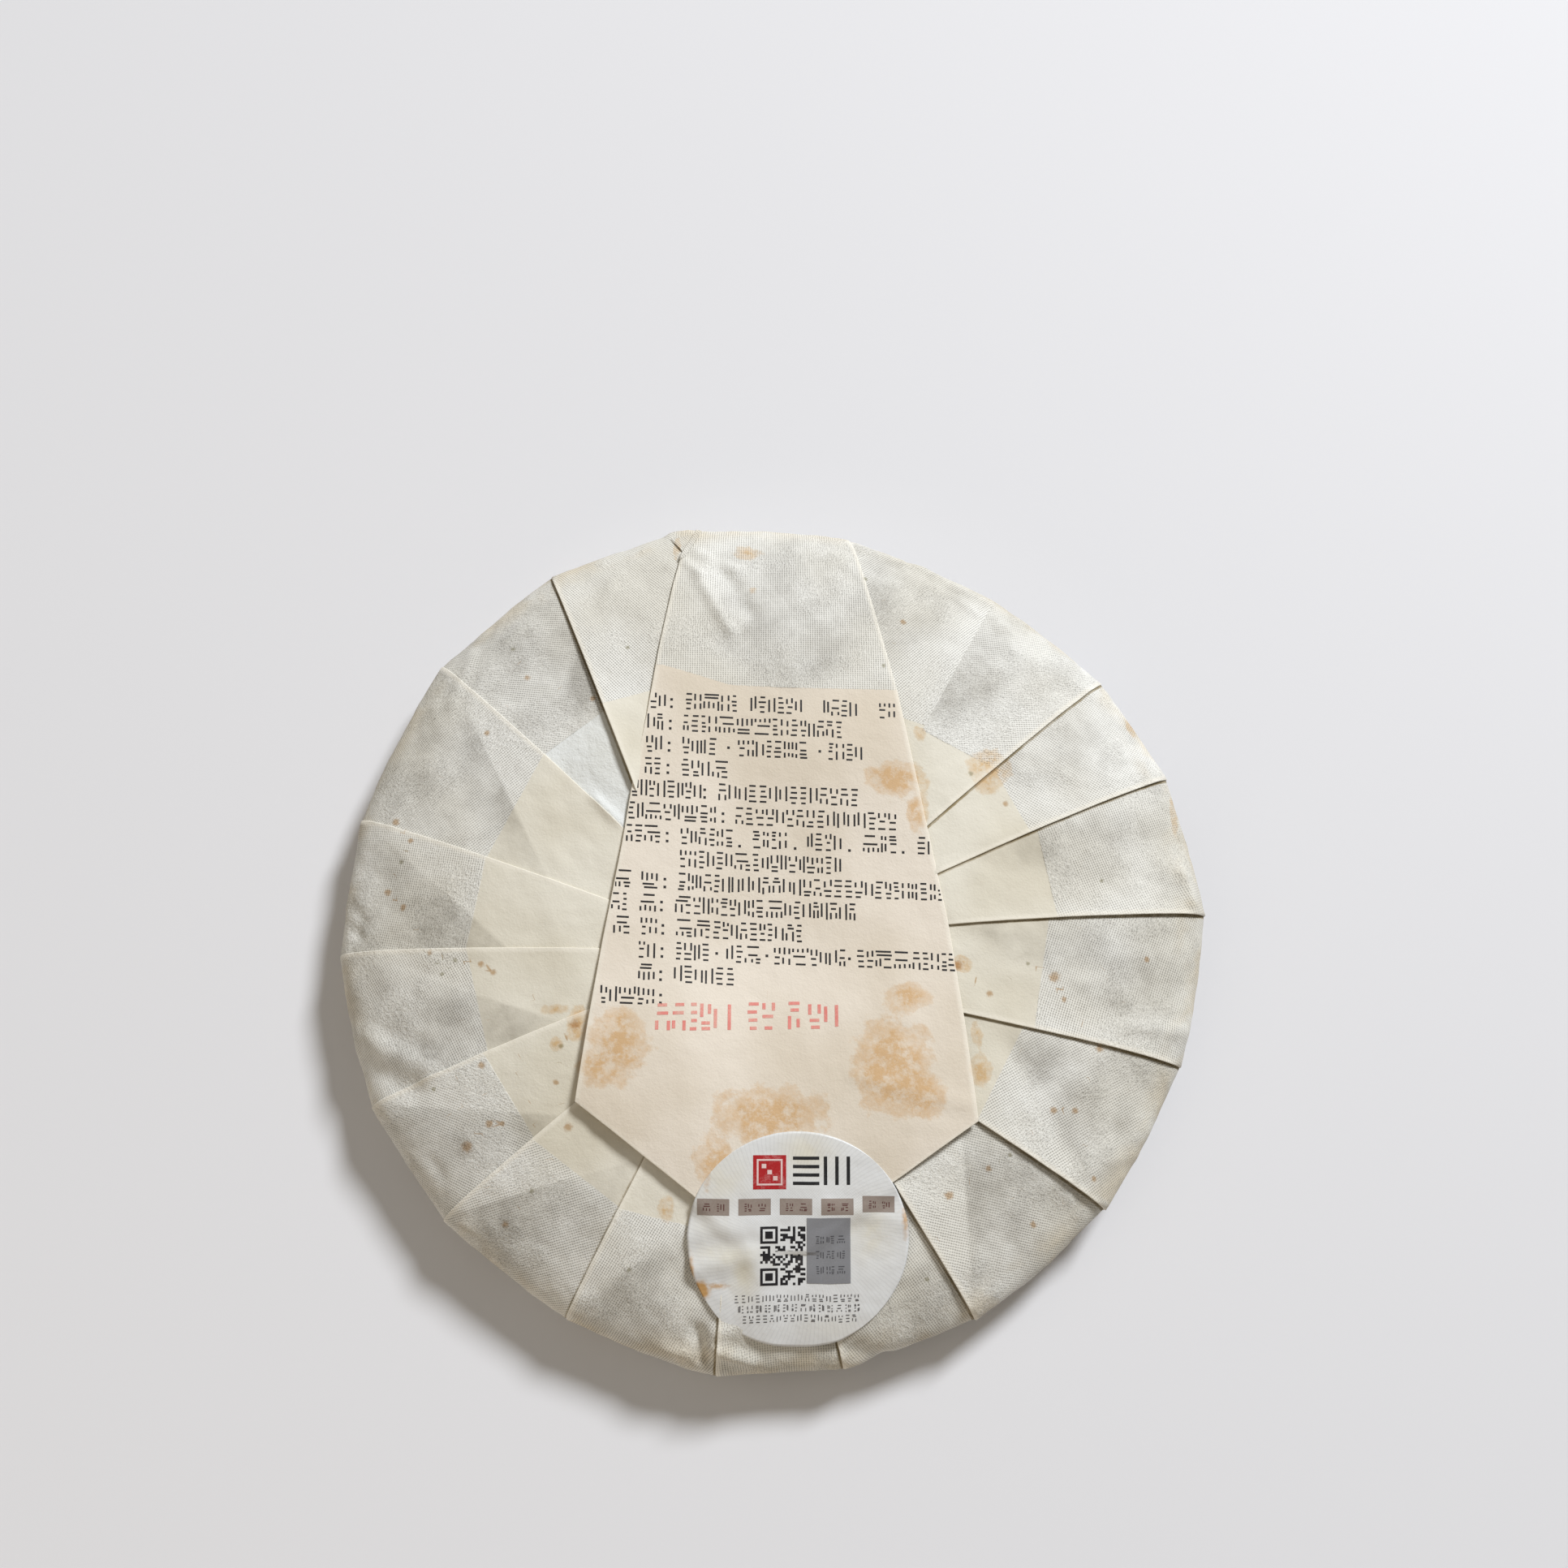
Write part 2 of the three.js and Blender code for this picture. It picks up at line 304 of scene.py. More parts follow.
# Small brown and grey specks: place and radius
specks = [
    (-87, 23, 1.1), (-83, 18, 0.8), (-88, 6, 1.0), (-84, 2, 0.9), (-65, -12, 0.9), (-62, -14, 0.9),
    (-67, -53, 1.5), (-62, -48, 1.1), (-59, -48, 0.8), (-47, -39, 0.8), (-44, -49, 1.2),
    (-64, -35, 1.0), (-43, -26, 1.4), (51, -19, 0.9), (66, -15, 1.5), (68, -20, 0.8), (76, -31, 1.1),
    (41, -64, 1.2), (65, -45, 1.0), (70, -45, 0.9), (-46, -31, 0.7), (-85, 13, 0.7), (56, 26, 0.8),
    (48, 33, 0.7), (-77, -9, 0.8), (-71, -11, 0.7), (-74, -14, 0.6), (44, -12.5, 1.3),
    (60, -12, 0.6), (50, -58, 0.8), (55, -55, 0.6), (-57, 58, 0.9), (-66, 44, 0.8), (-61, 66, 0.7),
    (24, 84, 0.7), (33, 72, 0.9), (28, 60, 0.6), (-33, 65, 0.6), (-41, 52, 0.8), (74, -60, 0.8),
    (78, 8, 0.6), (88, -10, 0.8), (-75, -40, 0.7), (-52, -63, 0.7), (-58, -70, 0.9), (36, -82, 0.7),
    (60, -70, 0.9), (-30, -80, 0.7),
]


def stainAt(x, y):
    return max(strength - math.hypot((x - mx) / halfX, (y - my) / halfY)
               for mx, my, halfX, halfY, strength in stains)


def spotsAt(spots, x, y):
    return max(strength * math.exp(-((x - mx) / halfX) ** 2 - ((y - my) / halfY) ** 2)
               for mx, my, halfX, halfY, strength in spots)


def nearSpeck(x, y):
    offsets = ((sx - x, sy - y, size) for sx, sy, size in specks)
    return min(offsets, key=lambda speck: math.hypot(*speck[:2]) - speck[2])


# One grid of paper. place(column, row) gives a point, a place on the flat sheet for the
# print's weave, and the values that the paper's finish reads.
paperValues = ("printed", "single", "tissue", "edgeHighlight", "foldShadow", "stain", "tea")


def paperGrid(name, columns, rows, place, closed=False):
    shell = bmesh.new()
    bmesh.ops.create_grid(shell, x_segments=columns, y_segments=rows, size=0.5)
    layers = [shell.verts.layers.float.new(value) for value in paperValues]
    speckLayer = shell.verts.layers.float_vector.new("nearSpeck")
    flat = {}
    for vert in shell.verts:
        column, row = round((vert.co.x + 0.5) * columns), round((vert.co.y + 0.5) * rows)
        point, flat[vert.index], values = place(column, row)
        onFront = closed and row < cake["frontRows"]
        marks = (-1.0, 0.0) if onFront else (stainAt(*point.xy), spotsAt(teaShows, *point.xy))
        for layer, value in zip(layers, (*values, *marks)):
            vert[layer] = value
        vert[speckLayer] = nearSpeck(point.x, point.y)
        vert.co = point * mm
    layFlat(shell, flat)
    if closed:
        bmesh.ops.remove_doubles(shell, verts=shell.verts, dist=1e-7)
        bmesh.ops.recalc_face_normals(shell, faces=shell.faces)
    return meshPiece(name, shell)


# Each point's place on the flat sheet, as the UV map that the finishes read
def layFlat(shell, flat):
    sheet = shell.loops.layers.uv.new("sheet")
    for face in shell.faces:
        for loop in face.loops:
            loop[sheet].uv = flat[loop.vert.index]


def addObject(name, data):
    made = bpy.data.objects.new(name, data)
    bpy.context.scene.collection.objects.link(made)
    return made


def meshPiece(name, shell):
    mesh = bpy.data.meshes.new(name)
    shell.to_mesh(mesh)
    shell.free()
    mesh.shade_smooth()
    return addObject(name, mesh)


def thicken(piece, thickness):
    wall = piece.modifiers.new("paper", "SOLIDIFY")
    wall.thickness = thickness * mm
    wall.offset = -1
    return piece


def wear(piece, material, *, replaces=()):
    piece.data.materials.append(material)
    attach(piece, "root")
    if replaces:
        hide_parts(*replaces)


# The pleated wrapper
def foldLift(fold, radius, folded):
    rimLift, innerLift = fold["lift"]
    outer = smooth(radius, 45, 98)
    return lerp(innerLift, rimLift, outer) * folded * smooth(radius, 22, 40)


def panelLift(panel, share, radius, width, folded):
    own, after = folds[panel], nextFold(panel)
    reach = pleats["liftReach"]
    lift = 0.0
    if own["over"] == 1:
        lift += foldLift(own, radius, folded) * (1 - share) * math.exp(-share * width / reach)
    if after["over"] == -1:
        lift += foldLift(after, radius, folded) * share * math.exp(-(1 - share) * width / reach)
    return lift


# Where the paper of a fold lies across its line, and how high: under, back and over the edge
def foldPath(fold, step, radius, folded):
    top = foldLift(fold, radius, folded)
    turn = min(pleats["foldRadius"], max(0.0, (top - 0.05) / 2))
    tuck = pleats["tuckWidth"] * folded * smooth(radius, 24, 40)
    under, back, half = pleats["underColumns"], pleats["backColumns"], pleats["creaseHalf"]
    flat = lerp(-half, half, step / (pleats["foldColumns"] + 1))
    along = step if fold["over"] == 1 else pleats["foldColumns"] + 1 - step
    if along <= under:
        place, height = lerp(-half, tuck, along / under), 0.0
    elif along <= under + back:
        share = (along - under) / back
        place, height = lerp(tuck, turn, share), lerp(0.06, top - 2 * turn, share)
    else:
        angle = math.pi * (along - under - back) / (pleats["foldColumns"] - under - back)
        place, height = turn - turn * math.sin(angle), top - turn - turn * math.cos(angle)
    place *= fold["over"]
    return lerp(flat, place, folded if fold["over"] else 0), height * folded * abs(fold["over"])


# How much fainter a fold's painted shadow is, as a distance, where its edge faces the light
def shadowFadeWhereLit(fold):
    return 0.6 * max(0.0, math.sin(math.radians(fold["angle"] - pleats["litFrom"])) * fold["over"])


# How far a point lies to the right of a line
def rightOf(start, end, point):
    run = (end - start).normalized()
    return run.y * (point.x - start.x) - run.x * (point.y - start.y)


def panelLines(panel):
    own, after = folds[panel], nextFold(panel)
    first, last = own["print"]
    printLine = (polar(first, foldAngle(own, first)), polar(last, foldAngle(after, last)))
    if not own["single"]:
        return printLine, None
    (radius, soft), rim = own["single"], cake["radius"]
    inner = polar(radius, foldAngle(after, radius))
    return printLine, (polar(rim, foldAngle(own, rim)), inner, soft)


def buildWrapper():
    perPanel = pleats["topColumns"] + 1 + pleats["foldColumns"]
    columns, rows = perPanel * len(folds), len(section) - 1
    lines = [panelLines(panel) for panel in range(len(folds))]

    def place(column, row):
        panel, step = divmod(column % columns, perPanel)
        radius, height = section[row]
        outward, up = sectionNormal[row]
        arc = sectionArc[row]
        pastRim = arc - rimArc
        folded = smooth(pastRim, pleats["foldStart"], pleats["foldFull"])
        first, last = panelEnds(panel, radius)
        half = pleats["creaseHalf"] / max(radius, 20.0)
        width = (last - first) * radius
        fold = nextFold(panel)
        if step <= pleats["topColumns"]:
            share = step / pleats["topColumns"]
            angle = lerp(first + half, last - half, share)
            lift = panelLift(panel, share, radius, width, folded)
            rim, looks = rimRadius(panel, share), panel
            # Distances to the painted highlight of a fold edge on this panel and to the painted shadow of a
            # fold edge over it
            edge, foldShadow = outOfReach, outOfReach
            if folds[panel]["over"] == 1:
                edge = min(edge, share * width)
            if folds[panel]["over"] == -1:
                foldShadow = min(foldShadow, share * width)
            if fold["over"] == -1:
                edge = min(edge, (1 - share) * width)
            if fold["over"] == 1:
                foldShadow = min(foldShadow, (1 - share) * width + shadowFadeWhereLit(fold))
        else:
            part, upward = step - pleats["topColumns"], fold["over"] == 1
            across, lift = foldPath(fold, part, radius, folded)
            angle = last + across / max(radius, 20.0)
            rim = fold["rim"]
            under = pleats["underColumns"]
            lower = part <= under if upward else part > pleats["foldColumns"] - under
            looks = panel if lower == upward else (panel + 1) % len(folds)
            edge = outOfReach if lower or not fold["over"] else 0.0
            foldShadow = shadowFadeWhereLit(fold) if lower and fold["over"] else outOfReach
        flat = polar(fullArc - arc, angle)
        covered = smooth(insideFlap(*flat), -0.3, 2.5) if pastRim > 0 else 0.0
        lift = lerp(lift, min(lift, flapLift(*flat) - flap["clear"]), covered)
        point = fromSection(radius, height, outward, up, angle, rim, lift + ridges(flat, paperCreases), 1.0)
        seen = Vector((point.x, point.y))
        printLine, singleLine = lines[looks]
        printed = rightOf(*printLine, seen) if pastRim > 0 else 50.0
        if singleLine:
            single = rightOf(*singleLine[:2], seen) / singleLine[2]
        else:
            single = -6.0 if folds[looks]["single"] is None else 8.0
        single = lerp(8.0, single, smooth(pastRim, -12, 2))
        middle = sum(panelEnds(looks, cake["radius"])) / 2
        outwardWay, sideWay = polar(1, middle), polar(1, middle + math.pi / 2)
        onPanel = outwardWay * (fullArc - flat.dot(outwardWay)) + sideWay * flat.dot(sideWay)
        sheet = polar(arc, angle).lerp(onPanel, smooth(pastRim, -6, 4))
        tissue = 1.0 if looks == tissuePanel and pastRim > 0 else 0.0
        return point, sheet, (printed, single, tissue, edge, foldShadow)

    return paperGrid("paperWrapper", columns, rows, place, closed=True)


# The closing flap: its sides from the knee up as seen from above, then over the rim
flap = {
    "leftSide": ((-42.3, -43.5), (-40.0, -26.0), (-37.2, -7.0), (-33.2, 16.0), (-30.9, 31.6), (-28.0, 47.8),
                 (-25.5, 64.6), (-22.4, 82.3), (-20.5, 90.9), (-17.4, 97.4)),
    "rightSide": ((47.6, -47.7), (45.1, -25.6), (42.0, -3.2), (36.8, 23.8), (31.0, 54.0),
                  (27.1, 70.1), (23.1, 87.2), (20.8, 94.9)),
    "overRim": ((-15.5, 112.0), (18.5, 112.0)),
    "tip": (3.4, -76.3),
    "tipWidth": 7.0,
    "kneeRow": 156,
    "rows": 200,
    "topColumns": 90,
    "hemColumns": 4,
    "hemWidth": 5.0,
    "turnColumns": 5,
    "foldRadius": 0.16,
    "paper": 0.12,
    "clear": 0.5,            # what is under the flap stays this far below its face
    "printEnd": ((-24.6, 60.1), (-8.8, 54.9), (4.3, 54.1), (30.6, 53.7)),
    "greyMiddle": (6.0, 76.0),
    "greyHalf": (20.0, 22.0),
}
flapCreases = flatCreases([
    ((-16.6, 84.0), (-8.5, 68.7), 0.8, 1.5),
    ((-12.0, 88.0), (-4.0, 74.0), -0.8, 2.2),
    ((-17.0, 91.0), (-8.0, 86.0), 0.6, 1.3),
    ((2.0, 90.0), (8.0, 66.0), 0.35, 5.0),
    ((20.0, -38.0), (44.0, -44.0), 0.25, 2.0),
    ((-20.0, -30.0), (20.0, -20.0), 0.3, 9.0),
    ((-10.0, 40.0), (30.0, 10.0), -0.4, 12.0),
    ((-20.0, 88.4), (-15.6, 84.2), 0.6, 0.9),
])


def flapLift(x, y):
    rise = lerp(-0.12, 0.4, smooth(-y, -110, -98))
    rise += 0.35 * smooth(-y, -96, -20) + 1.35 * smooth(-y, 5, 44) - 1.1 * smooth(-y, 48, 74)
    rise += 0.35 * smooth(-x, 4, 20) * smooth(-y, -100, -85)
    wave = 0.25 * noise.noise(Vector((x, y, 5)) / 26.0)
    return rise + (wave + ridges(Vector((x, y)), flapCreases)) * smooth(-y, -104, -92)


def flapBumps(y):
    return lerp(1.0, 0.45, smooth(-y, -105, -70))


def flapEdge(sign, side, overRim):
    line = [(y, x) for x, y in (*(unrolled(*point) for point in side), overRim)]
    knee, tip = Vector(unrolled(*side[0])), Vector(unrolled(*flap["tip"]))
    tip.x += sign * flap["tipWidth"] / 2

    def at(row):
        if row <= flap["kneeRow"]:
            y = lerp(overRim[1], knee.y, row / flap["kneeRow"])
            return Vector((float(np.interp(y, *zip(*line))), y))
        return knee.lerp(tip, (row - flap["kneeRow"]) / (flap["rows"] - flap["kneeRow"]))

    return at


leftEdge = flapEdge(-1, flap["leftSide"], flap["overRim"][0])
rightEdge = flapEdge(1, flap["rightSide"], flap["overRim"][1])
edgePoints = [[edge(row).yx for row in range(flap["rows"], -1, -1)] for edge in (leftEdge, rightEdge)]


# How far inside the flap's outline a point of the unrolled back is
def flapSides(y):
    return [float(np.interp(y, *zip(*points), left=0, right=0)) for points in edgePoints]


def insideFlap(x, y):
    left, right = flapSides(y)
    return min(x - left, right - x)


# Place across the flap as (edge it starts from, distance inwards, drop below the sheet)
def flapColumns():
    turn, hem = flap["foldRadius"], flap["hemWidth"]
    hems = [(hem * (1 - k / flap["hemColumns"]), 2 * turn) for k in range(flap["hemColumns"])]
    angles = [math.pi * k / flap["turnColumns"] for k in range(flap["turnColumns"])]
    turns = [(turn - turn * math.sin(angle), turn + turn * math.cos(angle)) for angle in angles]
    edge = hems + turns
    left = [(0.0, inwards, drop) for inwards, drop in edge]
    right = [(1.0, -inwards, drop) for inwards, drop in reversed(edge)]
    top = [(k / flap["topColumns"], turn * (1 - 2 * k / flap["topColumns"]), 0.0)
           for k in range(flap["topColumns"] + 1)]
    return left + top + right


def buildFlap():
    columns = flapColumns()
    ends = list(zip(*flap["printEnd"]))

    def place(column, upRow):
        share, inwards, drop = columns[column]
        row = flap["rows"] - upRow
        point = leftEdge(row).lerp(rightEdge(row), share)
        point.x += inwards
        lift = flapLift(point.x, point.y) - drop * smooth(-point.y, -106, -96)
        seen = onBack(point.x, point.y, lift, flapBumps(point.y))
        printed = seen.y - float(np.interp(seen.x, *ends)) if point.y < 100 else 50.0
        grey = math.hypot(*((a - b) / c for a, b, c in zip(seen.xy, flap["greyMiddle"], flap["greyHalf"])))
        width = (rightEdge(row) - leftEdge(row)).length
        # distance from the flap's sides, for their painted highlight
        edge = min(share, 1 - share) * width
        values = (printed, 2.5 * (1 - grey), 0.0, edge, outOfReach)
        return seen, (point.x, fullArc - point.y), values

    return thicken(paperGrid("closingFlap", len(columns) - 1, flap["rows"], place), flap["paper"])


# Small turned pieces of paper where the flap goes over the rim: corners as seen from above,
# and the lift at the two ends
tucks = {
    "turnedEdge": (((-21.2, 88.9), (-20.0, 88.4), (-15.9, 97.6), (-17.2, 98.0)), (1.0, 1.1)),
    "tuckedCorner": (((-20.4, 91.4), (-19.5, 91.4), (-16.6, 98.4), (-25.2, 97.6)), (0.35, 0.15)),
}


def buildTuck(name, columns=8, rows=16):
    seenCorners, (low, high) = tucks[name]
    corners = [Vector(unrolled(*corner)) for corner in seenCorners]

    def place(column, row):
        across, along = column / columns, row / rows
        point = corners[0].lerp(corners[1], across).lerp(corners[3].lerp(corners[2], across), along)
        seen = onBack(*point, lerp(low, high, along) + 0.15 * math.sin(7 * along))
        sheetPlace = (point.x * 0.8 + point.y * 0.6, point.y * 0.8 - point.x * 0.6)
        return seen, sheetPlace, (9.0, 0.0, 0.0, outOfReach, outOfReach)

    return thicken(paperGrid(name, columns, rows, place), flap["paper"])


# The round label over the flap's tip
label = {
    "middle": unrolled(7.4, -73.5),
    "radius": 24.4,
    "squash": 0.934,         # its upright size, taken as seen in the photograph
    "raise": 0.25,
    "segments": 80,
    "paper": 0.16,
    "gap": 0.22,
    "besideFlap": 0.45,
    "drop": 7.0,
}
labelCreases = flatCreases([
    ((-18.0, -72.5), (-2.0, -70.5), 0.55, 2.6),
    ((-17.0, -80.0), (-4.0, -77.0), 1.0, 2.6),
    ((14.0, -66.5), (31.0, -70.0), 0.35, 2.2),
])


def labelLift(x, y):
    onFlap = smooth(insideFlap(x, y), -label["drop"], -0.5)
    under = lerp(label["besideFlap"], flapLift(x, y), onFlap)
    return under + max(0.18, label["gap"] + ridges(Vector((x, y)), labelCreases))


def onLabel(x, y, above=0.0):
    x, y = x + label["middle"][0], y * label["squash"] + label["raise"] + label["middle"][1]
    return onBack(x, y, labelLift(x, y) + above, 0.6)


# Yellowed and stained places of the label, from its middle: place, half sizes and strength
labelTints = [
    (2, 19.5, 5.5, 5, 0.8), (-15.5, -3.5, 7, 3, 0.7), (16, 1.5, 5, 6, 0.7), (-17, 13.5, 6, 6, 0.6),
    (-12, -7.5, 3, 6, 0.8), (-19, 3, 5, 5, 0.35), (8, -20, 8, 3, 0.25),
]
labelStains = [
    (-21.4, -11.4, 1.8, 1.8, 1.3), (-23.6, -8, 1, 4, 0.8), (-18.5, -10.2, 3.5, 0.8, 0.6),
    (23.8, 5, 0.9, 6, 0.6), (-20, 13, 0.9, 3, 0.5),
]


def buildLabel():
    shell = bmesh.new()
    bmesh.ops.create_grid(shell, x_segments=label["segments"], y_segments=label["segments"], size=1)
    tint, stain = [shell.verts.layers.float.new(value) for value in ("tint", "stain")]
    flat = {}
    for vert in shell.verts:
        x, y = vert.co.xy
        x, y = x * math.sqrt(1 - y * y / 2), y * math.sqrt(1 - x * x / 2)
        x, y = x * label["radius"], y * label["radius"]
        flat[vert.index] = (x, y)
        vert[tint], vert[stain] = spotsAt(labelTints, x, y), spotsAt(labelStains, x, y)
        vert.co = onLabel(x, y) * mm
    layFlat(shell, flat)
    return thicken(meshPiece("roundLabel", shell), label["paper"])


# Print: thin bars and blocks, draped a hair above the paper. Boxes are (left, low, right, high).
ink = {"above": 0.045, "step": 0.7, "film": 0.02}


def addBox(shell, box, drape):
    left, low, right, high = box
    made = bmesh.ops.create_grid(shell, x_segments=math.ceil((right - left) / ink["step"]),
                                 y_segments=math.ceil((high - low) / ink["step"]), size=0.5)
    for vert in made["verts"]:
        vert.co = drape(lerp(left, right, vert.co.x + 0.5), lerp(low, high, vert.co.y + 0.5)) * mm


def printPiece(name, boxes, drape):
    shell = bmesh.new()
    for box in boxes:
        addBox(shell, box, drape)
    piece = meshPiece(name, shell)
    piece.data.shade_flat()
    return thicken(piece, ink["film"])


# Bars side by side in a box, lying or standing, that never touch
def hatch(box, stroke, standing, chance, trim=0.25):
    left, low, right, high = box
    across, along = (right - left, high - low) if standing else (high - low, right - left)
    count = max(2, round(across / (stroke * 2.3)))
    bars = []
    for k in range(count):
        place = (across - stroke) * k / (count - 1)
        start, end = along * chance.uniform(0, trim), along * (1 - chance.uniform(0, trim))
        if standing:
            bars.append((left + place, low + start, left + place + stroke, low + end))
        else:
            bars.append((left + start, low + place, left + end, low + place + stroke))
    return bars


# One mark of print: hatched fields, split where chance has it
def mark(left, low, width, height, stroke, chance):
    right, high = left + width, low + height
    x, y = lerp(left, right, chance.uniform(0.4, 0.6)), lerp(low, high, chance.uniform(0.35, 0.65))
    half = stroke * 0.6
    whole = (left, low, right, high)
    upper, lower = (left, y + half, right, high), (left, low, right, y - half)
    leftSide, rightSide = (left, low, x - half, high), (x + half, low, right, high)
    if width < height * 0.7:
        fields = chance.choice([(whole,), (upper, lower), (whole,)])
    else:
        quarters = [(left, y + half, x - half, high), (x + half, y + half, right, high),
                    (left, low, x - half, y - half), (x + half, low, right, y - half)]
        fields = chance.choice([
            (upper, lower), (leftSide, rightSide), (leftSide, quarters[1], quarters[3]),
            (quarters[0], quarters[2], rightSide), (upper, quarters[2], quarters[3]), quarters])
    standing = chance.random() < 0.5
    bars = []
    for field in fields:
        bars += hatch(field, stroke, standing, chance)
        standing = not standing
    return bars


def onFlap(x, y):
    return onBack(x, y, flapLift(x, y) + ink["above"], flapBumps(y))


def onRow(slope):
    return lambda x, y: onFlap(x, y + x * math.tan(math.radians(slope)))


printRows = {
    "top": 51.9,
    "pitch": 5.45,
    "slope": -2.5,
    "height": 4.1,
    "stroke": 0.42,
    "wide": (3.75, 4.2),     # width and pitch of the marks
    "narrow": (1.85, 2.37),
    "dot": 0.6,
    "wideRuns": [            # row by row, where a run of marks begins and how many it has
        ((-27.3, 1), (-18.9, 3), (-3.6, 3), (13.6, 2), (26.8, 1)),
        ((-27.8, 1), (-19.4, 9)),
        ((-28.0, 1), (-19.5, 2), (-6.5, 4), (14.7, 2)),
        ((-28.2, 1), (-12.5, 1)),
        ((-31.3, 4),),
        ((-32.1, 5),),
        ((-32.3, 2), (-19.7, 3), (-3.0, 2), (9.7, 2), (22.6, 2), (35.2, 1)),
        ((-19.8, 9),),
        ((-34.7, 1), (-28.6, 1), (-20.3, 3), (25.3, 4)),
        ((-35.4, 1), (-28.9, 1), (-20.8, 10)),
        ((-34.8, 1), (-28.6, 1), (-20.5, 7)),
        ((-28.9, 1), (-20.5, 2), (-8.9, 2), (2.0, 4), (21.0, 5)),
        ((-28.9, 1),),
        ((-37.3, 3),),
    ],
    # The same for narrow marks, each with its row, then the colons and the low or raised dots
    "narrowRuns": ((3, -19.7, 3), (4, -11.0, 14), (5, -7.0, 16), (8, -7.8, 14), (12, -20.8, 6),
                   (11, 41.6, 1)),
    "pairs": (-22.5, -22.7, -22.9, -23.1, -14.5, -10.2, -23.1, None, -23.5, -24.2, -23.8, -23.9,
              -24.1, -24.0),
    "dots": ((2, -9.0, 0.4), (2, 12.4, 0.4), (11, -11.4, 0.4), (11, 0.1, 0.4), (11, 19.0, 0.4),
             (6, -6.3, 0.0), (6, 6.6, 0.0), (6, 19.2, 0.0), (6, 31.6, 0.0)),
    "margin": 0.25,          # between the print and the flap's edge
    "shortest": 0.15,
}


def rowBoxes():
    chance = random.Random(11)
    height, stroke, dot = printRows["height"], printRows["stroke"], printRows["dot"]
    boxes = []

    def low(row):
        return printRows["top"] - row * printRows["pitch"] - height

    def run(row, start, count, size):
        for k in range(count):
            boxes.extend(mark(start + k * size[1], low(row), size[0], height, stroke, chance))

    for row, runs in enumerate(printRows["wideRuns"]):
        for start, count in runs:
            run(row, start, count, printRows["wide"])
    for row, start, count in printRows["narrowRuns"]:
        run(row, start, count, printRows["narrow"])
    places = [(row, x, share) for row, x in enumerate(printRows["pairs"]) if x for share in (0.05, 0.5)]
    for row, x, share in (*places, *printRows["dots"]):
        boxes.append((x, low(row) + height * share, x + dot, low(row) + height * share + dot))
    trimmed = [trimToFlap(box) for box in boxes]
    return [box for box in trimmed if box[2] - box[0] > printRows["shortest"]]


def trimToFlap(box):
    left, low, right, high = box
    lean = math.tan(math.radians(printRows["slope"]))
    starts, ends = zip(*(flapSides(y + x * lean) for y in (low, high) for x in (left, right)))
    margin = printRows["margin"]
    return max(left, max(starts) + margin), low, min(right, min(ends) - margin), high


stamp = {
    "low": -27.6,
    "height": 6.4,
    "slope": 1.0,
    "stroke": 0.75,
    "fields": ((-24.8, -21.4), (-21.0, -17.9), (-17.1, -15.2), (-14.7, -12.2), (-11.6, -7.7), (-4.1, -1.2),
               (-0.6, 2.3), (5.2, 7.9), (9.8, 12.7), (13.4, 16.6)),
}


def stampBoxes():
    chance = random.Random(3)
    boxes = []
    for left, right in stamp["fields"]:
        boxes += mark(left, stamp["low"], right - left, stamp["height"], stamp["stroke"], chance)
    return boxes


# What is printed on the label, from its middle
labelPrint = {
    "seal": (-9.9, 11.1, -2.6, 18.9),
    "sealFrame": (-9.1, 12.0, -3.4, 18.0),
    "sealDots": ((-8.0, 15.9, -7.0, 16.9), (-6.75, 14.5, -5.75, 15.5), (-5.5, 13.1, -4.5, 14.1)),
    "sealStroke": 0.4,
    "words": ((-1.1, 12.1, 4.7, 18.6), (5.7, 12.1, 11.5, 18.6)),
    "strips": [(-22.2 + 9.1 * k, 5.3 + rise, -15.1 + 9.1 * k, 9.0 + rise)
               for k, rise in enumerate((0, 0, 0, 0, 0.6))],
    "panel": (1.9, -10.1, 11.5, 4.6),
    "code": (-8.3, -10.5, 1.8, 2.7),
    "codeBlock": 0.55,
    # Start, end, height and pitch of each row
    "smallRows": ((-14.0, 15.2, -14.1, 1.55), (-13.1, 14.3, -16.35, 1.95), (-12.2, 13.6, -18.6, 1.5)),
    "smallHeight": 1.6,
}


# A square line round a box, as four bars
def ring(box, stroke):
    left, low, right, high = box
    inLeft, inRight = left + stroke, right - stroke
    return [(left, low, inLeft, high), (inRight, low, right, high),
            (inLeft, low, inRight, low + stroke), (inLeft, high - stroke, inRight, high)]


def labelBoxes():
    chance = random.Random(5)
    marks = {"labelSeal": [labelPrint["seal"]], "labelStrips": labelPrint["strips"],
             "labelPanel": [labelPrint["panel"]], "labelCode": codeBlocks()}
    marks["sealLines"] = [*ring(labelPrint["sealFrame"], labelPrint["sealStroke"]), *labelPrint["sealDots"]]
    marks["labelWords"] = [bar for standing, word in enumerate(labelPrint["words"])
                           for bar in hatch(word, 0.75, bool(standing), chance, 0.0)]
    places = [(left + start, low + 0.9) for left, low, *_ in labelPrint["strips"] for start in (1.3, 4.4)]
    marks["stripMarks"] = [bar for place in places for bar in mark(*place, 1.6, 1.7, 0.2, chance)]
    left, low = labelPrint["panel"][:2]
    places = [(left + 2.0 + 2.35 * k, low + 2.2 + 3.4 * row) for row in range(3) for k in range(3)]
    marks["panelMarks"] = [bar for place in places for bar in mark(*place, 1.7, 1.7, 0.2, chance)]
    places = [(start + k * pitch, low, pitch * 0.62) for start, end, low, pitch in labelPrint["smallRows"]
              for k in range(int((end - start) / pitch))]
    height = labelPrint["smallHeight"]
    marks["labelRows"] = [bar for place in places for bar in mark(*place, height, 0.22, chance)]
    return marks


